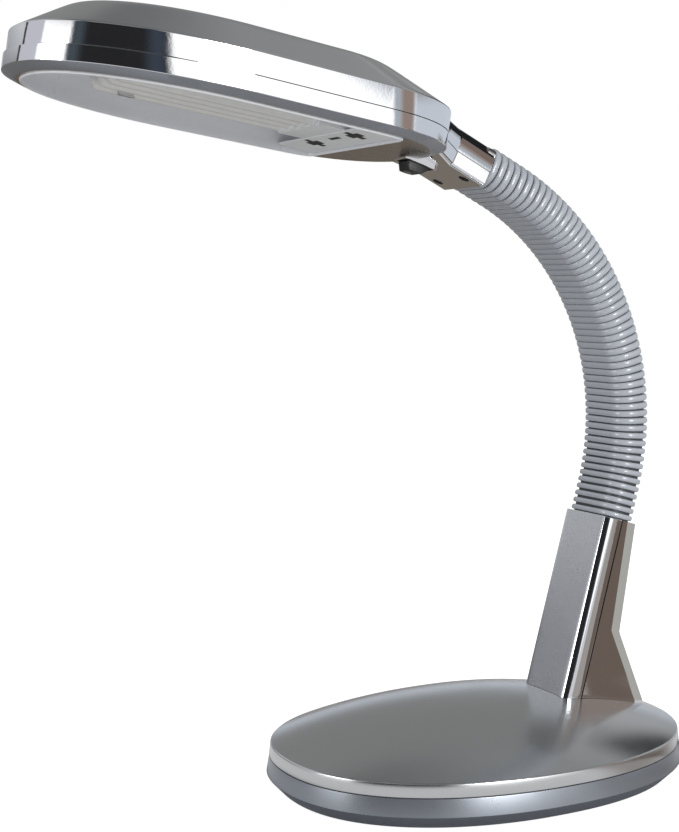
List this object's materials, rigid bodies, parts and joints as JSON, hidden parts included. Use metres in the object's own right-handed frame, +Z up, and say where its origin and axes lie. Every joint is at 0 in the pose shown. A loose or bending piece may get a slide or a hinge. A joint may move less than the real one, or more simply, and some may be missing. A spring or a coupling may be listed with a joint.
{
  "type": "gooseneck desk lamp",
  "caption": "Gooseneck desk lamp with a weighted oval base, a leaning post, a ribbed flexible neck and a long oval chrome head over a flat fluorescent bulb.",
  "frame": {"origin": "on the desk, under the middle of the oval base", "axes": "+Z up, the head points to -Y, +X to the side of the switch that faces the viewer of the picture"},
  "size_m": [0.2018, 0.4253, 0.4517],
  "materials": {
    "satin_chrome": "plastic with a satin chrome plating",
    "grey_tray": "satin",
    "cast_weight": "rough",
    "rubber": "matte",
    "steel": "satin",
    "dark_plastic": "matte",
    "ivory_plastic": "matte",
    "mirror_chrome": "plastic with a polished chrome plating",
    "sleeve_grey": "gloss",
    "white_paint": "satin white",
    "white_plastic": "satin",
    "bulb_glass": "frosted white",
    "brass": "plain",
    "black_plastic": "semi-gloss"
  },
  "bodies": {
    "base": {"base_top_cover": "satin_chrome", "base_tray": "grey_tray", "base_weight": "cast_weight", "foot_pad": "rubber", "base_screws": "steel", "cord_gland": "rubber", "cord_clamp": "dark_plastic", "ballast_box": "ivory_plastic", "post_front_cover": "mirror_chrome", "post_rear_cover": "mirror_chrome", "post_tube": "steel", "lower_ferrule": "steel", "neck_sleeve_1": "sleeve_grey"},
    "neck_link_1": {"neck_core_1": "steel", "neck_sleeve_2": "sleeve_grey"},
    "neck_link_2": {"neck_core_2": "steel", "neck_sleeve_3": "sleeve_grey"},
    "neck_link_3": {"neck_core_3": "steel", "neck_sleeve_4": "sleeve_grey"},
    "neck_link_4": {"neck_core_4": "steel", "neck_sleeve_5": "sleeve_grey"},
    "neck_link_5": {"neck_core_5": "steel", "neck_sleeve_6": "sleeve_grey"},
    "neck_link_6": {"neck_core_6": "steel", "neck_sleeve_7": "sleeve_grey"},
    "head": {"upper_ferrule": "steel", "head_top_shell": "mirror_chrome", "head_lower_shell": "mirror_chrome", "collar_screws": "steel", "reflector": "white_paint", "lamp_holder": "white_plastic", "bulb_tubes": "bulb_glass", "bulb_base": "white_plastic", "bulb_pins": "brass", "bulb_clip": "steel", "socket_cover": "white_plastic", "switch_housing": "black_plastic"},
    "rocker": {"switch_rocker": "black_plastic"}
  },
  "joints": [
    {"name": "neck_bend_1", "type": "hinge", "parent": "base", "child": "neck_link_1", "pos_m": [0, 0.10056, 0.17262], "axis": [1, 0, 0], "range_deg": [-15, 10], "deforming": ["neck_sleeve_1"]},
    {"name": "neck_swing_1", "type": "hinge", "parent": "neck_link_1", "child": "neck_link_2", "pos_m": [0, 0.10667, 0.20996], "axis": [0, 0.9989, -0.0461], "range_deg": [-14, 14], "deforming": ["neck_sleeve_2"]},
    {"name": "neck_bend_2", "type": "hinge", "parent": "neck_link_2", "child": "neck_link_3", "pos_m": [0, 0.10402, 0.24771], "axis": [1, 0, 0], "range_deg": [-15, 10], "deforming": ["neck_sleeve_3"]},
    {"name": "neck_bend_3", "type": "hinge", "parent": "neck_link_3", "child": "neck_link_4", "pos_m": [0, 0.09274, 0.28384], "axis": [1, 0, 0], "range_deg": [-15, 10], "deforming": ["neck_sleeve_4"]},
    {"name": "neck_bend_4", "type": "hinge", "parent": "neck_link_4", "child": "neck_link_5", "pos_m": [0, 0.07344, 0.31639], "axis": [1, 0, 0], "range_deg": [-15, 10], "deforming": ["neck_sleeve_5"]},
    {"name": "neck_swing_2", "type": "hinge", "parent": "neck_link_5", "child": "neck_link_6", "pos_m": [0, 0.04717, 0.34362], "axis": [0, 0.6342, 0.7732], "range_deg": [-14, 14], "deforming": ["neck_sleeve_6"]},
    {"name": "neck_bend_5", "type": "hinge", "parent": "neck_link_6", "child": "head", "pos_m": [0, 0.01532, 0.36407], "axis": [1, 0, 0], "range_deg": [-15, 10], "deforming": ["neck_sleeve_7"]},
    {"name": "rocker_tilt", "type": "hinge", "parent": "head", "child": "rocker", "pos_m": [0, -0.04374, 0.37609], "axis": [1, 0, 0], "range_deg": [-24, 0]}
  ]
}
